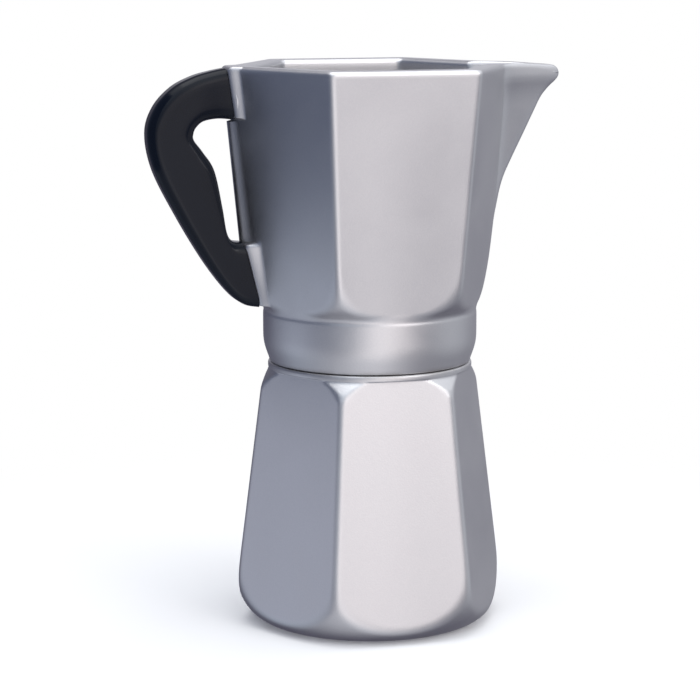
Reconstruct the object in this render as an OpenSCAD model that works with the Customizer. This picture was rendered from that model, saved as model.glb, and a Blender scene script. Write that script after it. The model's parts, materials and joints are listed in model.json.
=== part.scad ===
// Stovetop moka pot with an open-topped jug: a six-sided boiler and jug that screw together,
// a coffee funnel, gasket and filter plate between them, and a loop handle on one corner.
// +Z is up, +X points to the spout, and the origin is the centre of the flat base.

/* [Heights] */
// Height of the jug's rim above the base
rim_z = 272; // [270:0.5:274]
// Height of the top face of the boiler's shoulder, where the two halves part
seam_z = 128; // [127.6:0.1:128.4]
// Height of the boiler's threaded neck above its shoulder
neck_h = 14.6; // [14.6:0.1:15]

/* [Outline] */
// Corner radius of the jug's hexagon at the rim
rim_r = 72.6; // [72:0.1:73.5]
// Corner radius of the jug's hexagon where it meets the round collar
collar_hex_r = 59.6; // [59.3:0.1:60]
// Radius of the round collar at the foot of the jug
collar_r = 52; // [51.8:0.1:52.5]
// Corner radius of the boiler's hexagon, carried down to the base
foot_r = 70.5; // [70:0.1:71]
// Corner radius of the boiler's hexagon, carried up to the seam
waist_r = 53.9; // [53.5:0.1:54]
// Thickness of the cast walls
wall = 4.5; // [4:0.1:5]

/* [Screw joint] */
// Rise of the jug in one turn
thread_pitch = 4; // [3.8:0.1:4]
// Outer radius of the neck between its threads
neck_r = 43.6; // [43.5:0.05:43.7]
// Inner radius of the jug's skirt between its threads
skirt_r = 45.3; // [45.2:0.05:45.4]
// Inner radius of the neck, which the funnel drops into
mouth_r = 40.2; // [40:0.1:40.5]

/* [Handle] */
// Thickness of the handle from side to side
handle_t = 17; // [16:0.5:18]
// Radius of the handle's screws
screw_r = 2.5; // [2.4:0.05:2.5]

/* [Hidden] */
$fn = 96;

eps = 0.01;
neck_top = seam_z + neck_h;
corner = cos(30); // a hexagon's flats stand at this share of its corner radius

// Stack that the jug clamps on the neck, from the bottom up
flange_t = 1;
gasket_t = 3;
plate_t = 0.8;
rest_gap = 0.1;
flange_z = neck_top + rest_gap;
gasket_z = flange_z + flange_t + rest_gap;
plate_z = gasket_z + gasket_t + rest_gap;
seat_z = plate_z + plate_t + rest_gap;
skirt_z = seam_z + 0.8;
floor_z = seat_z + 6.7;

// Jug: heights where its straight faces start and its inward lip ends
face_z = 156.4;
lip_z = rim_z - 7.5;
lip_r = 60.5;
column_r = 7;

// Threads: a ridge's half width at its root and crest, and its two radii on each half
ridge_root = 1.3;
ridge_crest = 0.7;
ridge_bite = 1.3;
male_z = seam_z + 3.6;
// The gasket and the filter plate pass down through the skirt's threads
gasket_r = skirt_r - ridge_bite - 0.25;
plate_r = gasket_r - 0.3;

// Boiler: its floor, and the lip that stands round the foot of its neck
boiler_floor = 4.5;
boiler_lip_r = 49.7;
chamfer = 0.8;

// Relief valve in a face beside the handle: its height, then distances out along its own axis
valve_z = 92;
valve_root = 40;
valve_tail = 43.6;
valve_seat = 53.4;
valve_end = 62;
valve_bore_r = 5;
valve_pad_r = 10;
valve_boss_r = 8.5; // metal left round the hole on the inside of the wall
valve_boss_z = 45.5;
valve_washer_t = 1;
valve_hex_r = 8.1;
valve_hex_t = 4.2;

// Basket of the funnel
basket_r = 39.6;
basket_z = 101.6;
sheet = 0.8;
stem_r = 5.5;
stem_end = 9.5;
gasket_bore = 36.6;

// Where the handle meets the jug, as [x, z] points on the middle plane
top_joint = [[-68.2, 246.8], [-71.8, 271.2]];
low_joint = [[-56.4, 156.8], [-64.4, 188.4]];
top_screw = 0.36; // share of the way up the top joint
low_screw = 0.5;
lug_inset = 0.6;
lug_depth = 7;
boss_root = 3.5;
boss_depth = 10;
boss_r = 6.8;
screw_gap = 0.2;

// Outer and inner outline of the handle, from its top joint round to its lower one
handle_outer = [
    top_joint[1], [-78.6, 269.9], [-87.4, 267.4], [-97.3, 262.3], [-105.8, 253.2],
    [-109.7, 241], [-106.6, 223.6], [-96, 202], [-83, 180], [-71.8, 165], [-64, 158.6], low_joint[0]
];
handle_inner = [
    top_joint[0], [-74.5, 247.2], [-80.5, 247], [-86.3, 243.7], [-87.6, 238.6], [-83, 231.8], [-77.6, 224],
    [-74.6, 213], [-73.4, 202], [-72.2, 193.6], [-69.3, 189.2], low_joint[1]
];

// ---------- curves ----------

// Point at share t of the stretch from b to c of a smooth curve through a, b, c and d
function curve_point(a, b, c, d, t) =
    0.5 * (2 * b + (c - a) * t + (2 * a - 5 * b + 4 * c - d) * t * t
        + (3 * b - a - 3 * c + d) * t * t * t);

// Smooth curve through all the points of a list, in steps per stretch
function smooth(p, steps = 6) = [
    for (i = [0 : len(p) - 2], s = [0 : steps - 1])
        curve_point(p[max(i - 1, 0)], p[i], p[i + 1], p[min(i + 2, len(p) - 1)], s / steps),
    p[len(p) - 1]
];

function reversed(p) = [for (i = [len(p) - 1 : -1 : 0]) p[i]];

// Radius of the round limit that trims a casting's corners, moved in by a thickness
function inset(profile, t) = [for (p = profile) [max(p.x - t, 0), p.y]];

// ---------- shared shapes ----------

// Six-sided cone with a corner on +X, between two heights
module hex_cone(z0, r0, z1, r1) {
    translate([0, 0, z0]) cylinder(h = z1 - z0, r1 = r0, r2 = r1, $fn = 6);
}

// Solid of revolution under a [radius, height] outline, closed on the axis
module turned(profile) {
    last = len(profile) - 1;
    rotate_extrude()
        polygon(concat([[0, profile[0].y]], profile, [[0, profile[last].y]]));
}

module ring(r_out, r_in, z0, z1) {
    difference() {
        translate([0, 0, z0]) cylinder(r = r_out, h = z1 - z0);
        translate([0, 0, z0 - 1]) cylinder(r = r_in, h = z1 - z0 + 2);
    }
}

// Extrudes an [x, z] outline to a width across the middle plane
module across(width) {
    rotate([90, 0, 0]) linear_extrude(height = width, center = true) children();
}

// Puts the +Z axis along a handle screw, pointing into the jug from a share of the way up its joint
module at_screw(joint, share) {
    up = joint[1] - joint[0];
    place = joint[0] + share * up;
    translate([place.x, 0, place.y]) rotate([0, 90 - atan2(-up.x, up.y), 0]) children();
}

module at_top_screw() {
    at_screw(top_joint, top_screw) children();
}

module at_bottom_screw() {
    at_screw(low_joint, low_screw) children();
}

// Puts the +Z axis along the relief valve, pointing out of the boiler
module at_valve() {
    translate([0, 0, valve_z]) rotate([-90, 0, 0]) children();
}

// Helical ridge from root radius to crest radius, its middle at height z for zero turns
module thread_ridge(root, crest, z, from_turn, to_turn, sink) {
    steps = round((to_turn - from_turn) * 36);
    fade = 3;
    deep = root + (crest > root ? -sink : sink);
    section = [for (i = [0 : steps])
        let(turn = from_turn + (to_turn - from_turn) * i / steps,
            height = min(1, min(i, steps - i) / fade + 0.05),
            r = root + (crest - root) * height,
            w = ridge_root + (ridge_crest - ridge_root) * height,
            mid = z + thread_pitch * turn,
            out = crest > root ? 1 : -1)
        [for (p = [[deep, -out * ridge_root], [deep, out * ridge_root], [r, out * w], [r, -out * w]])
            [p.x * cos(360 * turn), p.x * sin(360 * turn), mid + p.y]]];
    sides = [for (i = [0 : steps - 1], k = [0 : 3])
        [4 * i + k, 4 * i + (k + 1) % 4, 4 * (i + 1) + (k + 1) % 4, 4 * (i + 1) + k]];
    polyhedron(
        points = [for (ring_points = section, p = ring_points) p],
        faces = concat([[3, 2, 1, 0]], sides, [[for (k = [0 : 3]) 4 * steps + k]]),
        convexity = 6);
}

// ---------- boiler ----------

boiler_round = [
    [48.8, 0], [53.8, 1.2], [57.8, 3.6], [61, 6.9], [63.5, 11], [65.2, 15.6], [66.2, 20.6], [66.5, 26],
    [66, 34], [62.9, 60], [59.6, 83], [57.1, 100], [55.7, 109], [54.6, 116], [53.2, 120.4],
    [50.6, seam_z - 3]
];

module boiler_shape(t) {
    intersection() {
        hex_cone(t, foot_r - t / corner, seam_z, waist_r - t / corner);
        turned(inset(boiler_round, t));
    }
}

module boiler() {
    color([0.72, 0.73, 0.75]) difference() {
        union() {
            boiler_shape(0);
            // Round lip under the seam
            turned([
                [boiler_lip_r - 0.5, seam_z - 4], [boiler_lip_r, seam_z - 3.2],
                [boiler_lip_r, seam_z - 0.6], [boiler_lip_r - 0.5, seam_z]
            ]);
            translate([0, 0, seam_z - 4]) cylinder(r = neck_r, h = neck_h + 4 - chamfer);
            translate([0, 0, neck_top - chamfer]) cylinder(r1 = neck_r, r2 = neck_r - 0.6, h = chamfer);
            thread_ridge(neck_r, neck_r + ridge_bite, male_z, 0, 1.75, 0.4);
            // Flat-faced pad that the relief valve seats on
            at_valve() translate([0, 0, valve_root]) cylinder(r = valve_pad_r, h = valve_seat - valve_root);
        }
        difference() {
            translate([0, 0, boiler_floor]) boiler_cavity();
            at_valve() translate([0, 0, valve_boss_z]) cylinder(r = valve_boss_r, h = 20);
        }
        translate([0, 0, seam_z - 9]) cylinder(r = mouth_r, h = 40);
        at_valve() translate([0, 0, valve_root - 10]) cylinder(r = valve_bore_r, h = 40);
    }
}

// Space for the water, drawn from its own floor
module boiler_cavity() {
    translate([0, 0, -boiler_floor]) intersection() {
        hex_cone(boiler_floor, foot_r - 0.6 - wall / corner, seam_z - 5, waist_r + 0.6 - wall / corner);
        turned([
            [44, boiler_floor], [52, 6.6], [57.4, 11], [60.4, 17], [61.6, 25], [58.2, 60],
            [54.8, 83], [52.3, 100], [49.6, 114], [45, seam_z - 5]
        ]);
    }
}

// ---------- relief valve, drawn along its own axis ----------

valve_inlet_r = 1.8;
valve_chamber_r = 3.6;
valve_chamber_z = 47.5;
valve_neck_r = 5.6;
cap_r = 4.6;
cap_t = 1.2;
cap_z = valve_end - 1.6;
disc_t = 1.5;
stem_l = 17; // from the plunger's disc to the middle of the ball on its end

module valve_body() {
    color([0.78, 0.62, 0.32]) at_valve() difference() {
        union() {
            translate([0, 0, valve_tail]) cylinder(r = valve_bore_r - 0.05, h = 12);
            translate([0, 0, valve_seat + valve_washer_t]) rotate(30)
                cylinder(r = valve_hex_r, h = valve_hex_t, $fn = 6);
            translate([0, 0, valve_seat + 5]) cylinder(r = valve_neck_r, h = valve_end - valve_seat - 5);
        }
        translate([0, 0, valve_root]) cylinder(r = valve_inlet_r, h = 30);
        translate([0, 0, valve_chamber_z]) cylinder(r = valve_chamber_r, h = 20);
        translate([0, 0, cap_z]) cylinder(r = cap_r, h = 3);
    }
}

module valve_washer() {
    color([0.55, 0.2, 0.14]) at_valve()
        ring(valve_hex_r + 0.3, valve_bore_r + 0.05, valve_seat, valve_seat + valve_washer_t);
}

module valve_plunger() {
    color([0.8, 0.8, 0.82]) at_valve() {
        translate([0, 0, valve_chamber_z]) cylinder(r = 3, h = disc_t);
        translate([0, 0, valve_chamber_z + disc_t - eps]) cylinder(r = 1.2, h = stem_l - disc_t);
        translate([0, 0, valve_chamber_z + stem_l - 2 * eps]) sphere(r = 1.6, $fn = 32);
    }
}

// Compression spring between the plunger's disc and the cap
spring_r = 2.35;
spring_wire = 0.35;
spring_coil = 2 * spring_wire;
spring_z = [valve_chamber_z + disc_t + spring_wire + 0.05, cap_z - spring_wire - 0.05];
spring_turns = 6;
flat_turns = 0.8; // at each end

module valve_spring() {
    steps = spring_turns * 14;
    sides = 6;
    rings = [for (i = [0 : steps])
        let(turn = spring_turns * i / steps,
            // the end turns lie flat, and the turns between them climb
            climb = min(max((turn - flat_turns) / (spring_turns - 2 * flat_turns), 0), 1),
            first = min(turn / flat_turns, 1),
            last = max((turn - spring_turns) / flat_turns + 1, 0),
            z = spring_z[0] + (spring_z[1] - spring_z[0] - 2 * spring_coil) * climb
                + spring_coil * (first + last))
        [for (k = [0 : sides - 1])
            let(r = spring_r + spring_wire * cos(360 * k / sides))
            [r * cos(360 * turn), r * sin(360 * turn), z + spring_wire * sin(360 * k / sides)]]];
    walls = [for (i = [0 : steps - 1], k = [0 : sides - 1])
        [sides * i + k, sides * i + (k + 1) % sides, sides * (i + 1) + (k + 1) % sides,
            sides * (i + 1) + k]];
    color([0.7, 0.7, 0.72]) at_valve() polyhedron(
        points = [for (ring_points = rings, p = ring_points) p],
        faces = concat([[for (k = [sides - 1 : -1 : 0]) k]], walls,
            [[for (k = [0 : sides - 1]) sides * steps + k]]),
        convexity = 8);
}

module valve_cap() {
    color([0.78, 0.62, 0.32]) at_valve() difference() {
        translate([0, 0, cap_z]) cylinder(r = cap_r, h = cap_t);
        translate([0, 0, valve_end - 3]) cylinder(r = 1.35, h = 5);
        for (a = [45 : 90 : 315]) rotate(a) translate([3, 0, valve_end - 3]) cylinder(r = 0.6, h = 5);
    }
}

// ---------- funnel, gasket and filter ----------

module funnel() {
    color([0.75, 0.76, 0.78]) rotate_extrude() polygon([
        [43, flange_z], [43, flange_z + flange_t], [basket_r - sheet + 0.4, flange_z + flange_t],
        [basket_r - sheet, flange_z + 0.4], [basket_r - sheet, basket_z], [basket_r - 2.8, basket_z],
        [basket_r - 3.6, basket_z - 1.6], [7, 90.2], [stem_r - sheet, 86], [stem_r - sheet, stem_end],
        [stem_r, stem_end], [stem_r, 85.6], [7.6, 89.2], [basket_r - 2.6, basket_z - 2.4],
        [basket_r, basket_z - 0.4], [basket_r, flange_z]
    ]);
}

// Disc with rings of round holes, six more in each ring
module perforated(r, z, t, rings, spacing, hole_r) {
    difference() {
        translate([0, 0, z]) cylinder(r = r, h = t);
        for (k = [1 : rings], i = [0 : 6 * k - 1])
            rotate(60 * i / k) translate([k * spacing, 0, z - 1])
                cylinder(r = hole_r, h = t + 2, $fn = 24);
    }
}

module funnel_strainer() {
    color([0.7, 0.71, 0.72])
        perforated(basket_r - sheet - 0.05, basket_z, t = 0.9, rings = 5, spacing = 6.6, hole_r = 0.9);
}

module gasket() {
    color([0.93, 0.92, 0.88]) ring(gasket_r, gasket_bore, gasket_z, gasket_z + gasket_t);
}

module filter_plate() {
    color([0.76, 0.77, 0.78]) union() {
        perforated(plate_r, plate_z, plate_t, rings = 6, spacing = 5.4, hole_r = 0.6);
        // Rolled lip that centres the plate in the gasket
        ring(gasket_bore - 0.2, gasket_bore - 1.2, plate_z - 1.4, plate_z + eps);
    }
}

// ---------- jug ----------

jug_round = [
    [51.8, face_z - 1.6], [53.4, face_z + 0.2], [56.2, 160.4], [58.4, 165.6], [60, 171.6], [61.1, 178],
    [62.1, 186], [66, 220], [71.4, rim_z - 2.4], [71.2, rim_z - 1], [70.2, rim_z - 0.2], [69.4, rim_z]
];

module jug_shell() {
    intersection() {
        hex_cone(face_z - 1.6, collar_hex_r - 0.18, rim_z, rim_r);
        turned(jug_round);
    }
    // Round collar and the skirt below it
    turned([
        [48.9, skirt_z], [49.6, 131], [50.7, 134], [51.6, 137], [collar_r, 140.5],
        [collar_r, face_z - 2.6], [51.6, face_z - 1.4], [50.6, face_z - 0.6]
    ]);
}

module jug_cavity() {
    intersection() {
        hex_cone(floor_z, collar_hex_r + 0.4 - wall / corner, lip_z, rim_r - 0.8 - wall / corner);
        turned([
            [44, floor_z], [48.4, floor_z + 1.4], [51, floor_z + 5], [53.2, 166], [55.2, 174],
            [58.4, 190], [66.6, lip_z - 2], [62, lip_z]
        ]);
    }
    hex_cone(lip_z - 1, lip_r, rim_z - 1.6, lip_r);
    hex_cone(rim_z - 1.6 - eps, lip_r, rim_z + eps, lip_r + 1.6);
}

// Beak grown from the corner on +X: its nose and roots at three heights, then at the rim
module spout_solid() {
    hull() {
        translate([60, 0, 211]) sphere(r = 3.4, $fn = 32);
        spout_section(81.2, 5, 9, 62, 253);
    }
    hull() {
        spout_section(81.2, 5, 9, 62, 253);
        spout_section(89, 4.6, 14, 60, 263);
    }
    hull() {
        spout_section(89, 4.6, 14, 60, 263);
        spout_section(91.4, 4.4, 15, 60, 266);
        spout_section(91, 3.8, 16, 59.6, rim_z - 2.4);
        spout_section(87, 3.4, 16, 59.6, rim_z - 0.8);
    }
}

module spout_channel() {
    hull() {
        translate([56, 0, 220]) sphere(r = 3, $fn = 32);
        spout_section(78, 3, 8, 57, 256);
    }
    hull() {
        spout_section(78, 3, 8, 57, 256);
        spout_section(88.4, 2.8, 13, 54, rim_z + 1);
    }
}

// Nose circle and two root circles of a beak section, a thin slice at one height
module spout_section(nose_x, nose_r, root_y, root_x, z) {
    translate([nose_x, 0, z]) cylinder(r = nose_r, h = 0.4, $fn = 32);
    for (s = [-1, 1]) translate([root_x, s * root_y, z]) cylinder(r = 2, h = 0.4, $fn = 16);
}

// Outline of a pad behind a joint of the handle, from its face to a depth
module lug(joint, inset, depth) {
    along = (joint[1] - joint[0]) / norm(joint[1] - joint[0]);
    low = joint[0] + inset * along;
    high = joint[1] - inset * along;
    polygon([low, high, high + [depth, 0], low + [depth, 0]]);
}

// Flat pads on the handle's corner, flush with the handle's end faces
module handle_lugs() {
    across(handle_t) {
        lug(top_joint, lug_inset, lug_depth);
        lug(low_joint, lug_inset, lug_depth - 1);
    }
    // Low spine up the corner between the pads
    hull() {
        spine_slice(low_joint[1].y - 4, 64.4);
        spine_slice(top_joint[0].y - 0.4, 70.6);
    }
}

// Triangle on the handle's corner with its nose at a radius, a thin slice at one height
module spine_slice(z, r) {
    translate([0, 0, z]) linear_extrude(height = 0.1) polygon([[-r, 0], [-r + 9, 9], [-r + 9, -9]]);
}

module handle_boss() {
    translate([0, 0, boss_root]) cylinder(r = boss_r, h = boss_depth - boss_root);
}

module upper_chamber() {
    color([0.72, 0.73, 0.75]) difference() {
        union() {
            difference() {
                union() {
                    jug_shell();
                    spout_solid();
                    handle_lugs();
                }
                jug_cavity();
                spout_channel();
            }
            // Bosses that the handle's screws pull against
            at_top_screw() handle_boss();
            at_bottom_screw() handle_boss();
            // Seat of the riser column
            translate([0, 0, floor_z - 1]) cylinder(r = 11, h = 2);
        }
        // Skirt, gasket seat and the steam dome under the floor
        translate([0, 0, skirt_z - 1]) cylinder(r = skirt_r, h = seat_z - skirt_z + 1);
        translate([0, 0, skirt_z - eps]) cylinder(r1 = skirt_r + chamfer, r2 = skirt_r, h = chamfer);
        translate([0, 0, seat_z - eps]) cylinder(r1 = 35.5, r2 = 9, h = 3);
        translate([0, 0, seat_z]) cylinder(r = column_r, h = 20);
        // Trims the rim's corner flush with the handle's end face
        across(handle_t + 2) lug(top_joint, -0.2, -10);
        at_top_screw() translate([0, 0, -5]) cylinder(r = screw_r + screw_gap, h = 30);
        at_bottom_screw() translate([0, 0, -5]) cylinder(r = screw_r + screw_gap, h = 30);
    }
    color([0.72, 0.73, 0.75])
        thread_ridge(skirt_r, skirt_r - ridge_bite, male_z + thread_pitch / 2, -0.5, 1, 0.4);
}

column_top = 242.6;
column_foot = floor_z + 1.02;
outlet_r = 1.9;

module riser_column() {
    color([0.74, 0.75, 0.77]) difference() {
        turned([
            [column_r - 0.05, seat_z + 3.4], [column_r - 0.05, column_foot], [9.6, column_foot],
            [9.6, floor_z + 2.4], [8, floor_z + 4.4], [5.8, column_top - 10.6], [5.6, column_top - 4.6],
            [4.6, column_top - 1.6], [2.4, column_top]
        ]);
        translate([0, 0, seat_z]) cylinder(r = 3.4, h = 90);
        // Two outlets that turn the coffee out into the jug
        for (a = [90, 270]) rotate(a) translate([2, 0, column_top - 6.2]) rotate([0, 62, 0])
            cylinder(r = outlet_r, h = 10);
    }
}

// ---------- handle and its fasteners ----------

insert_r = 4.4;
insert_l = 13;

module handle() {
    color([0.04, 0.04, 0.05]) difference() {
        across(handle_t) polygon(concat(smooth(handle_outer), reversed(smooth(handle_inner))));
        at_top_screw() translate([0, 0, -insert_l]) cylinder(r = insert_r, h = insert_l + 5);
        at_bottom_screw() translate([0, 0, -insert_l]) cylinder(r = insert_r, h = insert_l + 5);
    }
}

module handle_insert() {
    difference() {
        translate([0, 0, -insert_l]) cylinder(r = insert_r, h = insert_l);
        translate([0, 0, -insert_l + 1.5]) cylinder(r = screw_r + 0.05, h = insert_l);
    }
}

seal_t = 1;
washer_t = 1;

module handle_seal() {
    ring(5.8, screw_r + 0.05, boss_depth, boss_depth + seal_t);
}

module handle_washer() {
    ring(6.2, screw_r + screw_gap, boss_depth + seal_t, boss_depth + seal_t + washer_t);
}

// Pan head with a hexagon socket
module handle_screw() {
    head_z = boss_depth + seal_t + washer_t;
    difference() {
        union() {
            translate([0, 0, -insert_l + 2.5]) cylinder(r = screw_r, h = head_z + insert_l - 2.4);
            turned([[4.6, head_z], [4.6, head_z + 1.4], [4, head_z + 2.4], [2.8, head_z + 2.9]]);
        }
        translate([0, 0, head_z + 1.1]) cylinder(r = 1.75, h = 4, $fn = 6);
    }
}

module handle_insert_top() { color([0.78, 0.62, 0.32]) at_top_screw() handle_insert(); }
module handle_insert_bottom() { color([0.78, 0.62, 0.32]) at_bottom_screw() handle_insert(); }
module handle_screw_top() { color([0.66, 0.67, 0.69]) at_top_screw() handle_screw(); }
module handle_screw_bottom() { color([0.66, 0.67, 0.69]) at_bottom_screw() handle_screw(); }
module handle_washer_top() { color([0.7, 0.71, 0.72]) at_top_screw() handle_washer(); }
module handle_washer_bottom() { color([0.7, 0.71, 0.72]) at_bottom_screw() handle_washer(); }
module handle_seal_top() { color([0.93, 0.92, 0.88]) at_top_screw() handle_seal(); }
module handle_seal_bottom() { color([0.93, 0.92, 0.88]) at_bottom_screw() handle_seal(); }

boiler();
valve_body();
valve_washer();
valve_plunger();
valve_spring();
valve_cap();
funnel();
funnel_strainer();
gasket();
filter_plate();
upper_chamber();
riser_column();
handle();
handle_insert_top();
handle_insert_bottom();
handle_screw_top();
handle_screw_bottom();
handle_washer_top();
handle_washer_bottom();
handle_seal_top();
handle_seal_bottom();
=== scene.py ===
"""Looks for a six-sided stovetop moka pot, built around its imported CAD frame."""

import json
import math

import bmesh
import bpy
import numpy as np
from mathutils import Matrix, Vector


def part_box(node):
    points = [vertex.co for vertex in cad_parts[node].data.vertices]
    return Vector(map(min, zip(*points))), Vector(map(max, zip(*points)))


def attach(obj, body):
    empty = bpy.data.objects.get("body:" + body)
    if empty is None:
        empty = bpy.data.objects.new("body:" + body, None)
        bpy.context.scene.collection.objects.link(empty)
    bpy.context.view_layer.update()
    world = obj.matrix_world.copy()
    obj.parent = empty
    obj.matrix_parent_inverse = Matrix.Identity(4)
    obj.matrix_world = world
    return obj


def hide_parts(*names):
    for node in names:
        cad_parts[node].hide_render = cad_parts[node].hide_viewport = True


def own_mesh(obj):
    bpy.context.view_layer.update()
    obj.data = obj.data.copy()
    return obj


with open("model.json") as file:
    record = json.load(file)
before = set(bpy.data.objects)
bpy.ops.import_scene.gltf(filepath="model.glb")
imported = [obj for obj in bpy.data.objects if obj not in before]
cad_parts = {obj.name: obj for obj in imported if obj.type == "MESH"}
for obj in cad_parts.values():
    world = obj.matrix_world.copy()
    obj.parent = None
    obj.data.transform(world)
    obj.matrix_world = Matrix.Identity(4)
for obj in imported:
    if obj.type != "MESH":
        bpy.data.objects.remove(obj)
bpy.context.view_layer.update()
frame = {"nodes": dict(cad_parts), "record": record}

MM = 0.001
PI = math.pi


# ---------- curves and outlines, in millimetres ----------


def smooth(points, steps=8):
    """Smooth curve through every point of a list."""
    p = np.array(points, float)
    out = []
    for i in range(len(p) - 1):
        a, b, c, d = p[max(i - 1, 0)], p[i], p[i + 1], p[min(i + 2, len(p) - 1)]
        slope, bend, twist = c - a, 2 * a - 5 * b + 4 * c - d, 3 * b - a - 3 * c + d
        for t in np.arange(steps) / steps:
            out.append(0.5 * (2 * b + slope * t + bend * t * t + twist * t**3))
    return np.array(out + [p[-1]])


def resample(points, step):
    """Points at an even step along a polyline."""
    p = np.array(points, float)
    s = np.concatenate([[0], np.cumsum(np.linalg.norm(np.diff(p, axis=0), axis=1))])
    t = np.linspace(0, s[-1], max(2, int(round(s[-1] / step)) + 1))
    return np.stack([np.interp(t, s, p[:, k]) for k in range(p.shape[1])], axis=1)


def at_height(line, z):
    """Radius of a line of (radius, height) points at these heights."""
    return np.interp(z, line[:, 1], line[:, 0])


def soft_min(a, b, k):
    """Smaller of two values, rounded over a width where they cross."""
    h = np.clip(0.5 + 0.5 * (b - a) / k, 0, 1)
    return b + (a - b) * h - k * h * (1 - h)


def soft_max(a, b, k):
    """Larger of two values, rounded over a width where they cross."""
    return -soft_min(-a, -b, k)


def ease(x):
    """Smooth step from 0 to 1."""
    x = np.clip(x, 0, 1)
    return x * x * (3 - 2 * x)


def hexagon(theta, r, fillet):
    """Distance to a six-sided outline with a corner on +X and rounded corners."""
    phi = np.abs((theta + PI / 6) % (PI / 3) - PI / 6)
    flat = r * math.cos(PI / 6) / np.cos(PI / 6 - phi)
    c = r - fillet / math.sin(PI / 3)
    round_part = c * np.cos(phi) + np.sqrt(np.clip(fillet**2 - (c * np.sin(phi)) ** 2, 0, None))
    edge = np.arctan2(fillet / 2, c + fillet * math.cos(PI / 6))
    return np.where(phi < edge, round_part, flat)


def crown(theta, height):
    """Swell of each face of the hexagon, none at its corners."""
    return height * np.sin(3 * theta) ** 2


def wedge(theta, nose_x, nose_r, root_x, root_y):
    """Distance to a wedge on +X with a round nose, whose straight sides pass through the roots."""
    t = np.abs((theta + PI) % (2 * PI) - PI)
    dx, dy = root_x - nose_x, root_y
    beta = np.arctan2(dy, dx) - np.arccos(np.clip(nose_r / np.hypot(dx, dy), -1, 1))
    side = (nose_x * np.cos(beta) + nose_r) / np.maximum(np.cos(t - beta), 0.05)
    nose = nose_x * np.cos(t) + np.sqrt(np.clip(nose_r**2 - (nose_x * np.sin(t)) ** 2, 0, None))
    edge = np.arctan2(nose_r * np.sin(beta), nose_x + nose_r * np.cos(beta))
    return np.where(t > 0.9, 0, np.where(t < edge, nose, side))


# ---------- meshes ----------


def new_object(name, verts, faces, smooth_shade=True):
    """Object at the origin with this mesh, its faces turned outwards."""
    mesh = bpy.data.meshes.new(name)
    mesh.from_pydata([tuple(v) for v in verts], [], faces)
    bm = bmesh.new()
    bm.from_mesh(mesh)
    bmesh.ops.recalc_face_normals(bm, faces=bm.faces)
    bm.to_mesh(mesh)
    bm.free()
    mesh.polygons.foreach_set("use_smooth", [smooth_shade] * len(mesh.polygons))
    mesh.update()
    obj = bpy.data.objects.new(name, mesh)
    bpy.context.scene.collection.objects.link(obj)
    return obj


def loft(rings, loop=False, first=0):
    """Vertices and faces between rings of points. With loop the last ring joins the first;
    otherwise each end is closed by a fan round the middle of its ring."""
    rings = np.asarray(rings, float)
    n, m = rings.shape[:2]
    verts = [tuple(v) for v in rings.reshape(-1, 3)]
    faces = []
    for i in range(n if loop else n - 1):
        a, b = i * m, ((i + 1) % n) * m
        for j in range(m):
            k = (j + 1) % m
            faces.append((a + j, a + k, b + k, b + j))
    if not loop:
        for i, flip in ((0, True), (n - 1, False)):
            centre = len(verts)
            verts.append(tuple(rings[i].mean(0)))
            for j in range(m):
                k = (j + 1) % m
                faces.append((centre, i * m + k, i * m + j) if flip else (centre, i * m + j, i * m + k))
    return verts, [tuple(v + first for v in f) for f in faces]


def ring_at(theta, r, z):
    """Ring of points at these angles, from a radius and a height in millimetres."""
    r, z = np.broadcast_to(r, theta.shape), np.broadcast_to(z, theta.shape)
    return np.stack([r * np.cos(theta), r * np.sin(theta), z], axis=1) * MM


def lathe(profile, segments=128):
    """Rings of a solid of revolution about Z from a (radius, height) profile in millimetres."""
    a = np.linspace(0, 2 * PI, segments, endpoint=False)
    return [[(r * math.cos(t) * MM, r * math.sin(t) * MM, z * MM) for t in a] for r, z in profile]


def turned(name, profile, segments=128, loop=True):
    """Solid of revolution about Z, from a closed profile or one that starts and ends at the axis."""
    verts, faces = loft(lathe(profile, segments), loop)
    return new_object(name, verts, faces)


def rounded(profile, radius, steps=4):
    """A closed (radius, height) profile with each of its corners rounded."""
    p = [np.array(v, float) for v in profile]
    out = []
    for i, v in enumerate(p):
        a, b = p[i - 1] - v, p[(i + 1) % len(p)] - v
        la, lb = np.linalg.norm(a), np.linalg.norm(b)
        d = min(radius, la * 0.45, lb * 0.45)
        start, end = v + a / la * d, v + b / lb * d
        for t in np.linspace(0, 1, steps + 1):
            out.append((1 - t) ** 2 * start + 2 * t * (1 - t) * v + t * t * end)
    return [tuple(v) for v in out]


def join(name, parts):
    """One object from several closed meshes of one casting."""
    verts, faces, total = [], [], 0
    for part in parts:
        m = part.data
        verts += [tuple(v.co) for v in m.vertices]
        faces += [tuple(i + total for i in p.vertices) for p in m.polygons]
        total = len(verts)
        bpy.data.objects.remove(part)
    return new_object(name, verts, faces)


def along(obj, origin, direction):
    """Turns a mesh made about +Z so that +Z runs along a direction from an origin, in millimetres."""
    q = Vector(direction).normalized().to_track_quat("Z", "Y").to_matrix().to_4x4()
    q.translation = Vector(origin) * MM
    obj.data.transform(q)
    return obj


# ---------- jug ----------

RIM_Z = 272.0
SEAM_Z = 128.0
SKIRT_Z = 128.8
NECK_TOP = 142.6
VALVE_Z = 92
SEAT_Z = 147.8
FLOOR_Z = 154.5
LIP_Z = 264.5

# Corner radius of the jug's hexagon, outside and inside, at two heights each
OUTER_CORNER = ([148.4, RIM_Z], [58.6, 72.3])
INNER_CORNER = ([FLOOR_Z, LIP_Z], [54.1, 66.6])
# Heights where the faces, the beak and the spine start, and where the spine ends
BODY_Z = 150
BEAK_Z = 190
SPINE_LOW = 176
SPINE_HIGH = 247.6
# The spout's channel starts here
CHANNEL_Z = 214

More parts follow.
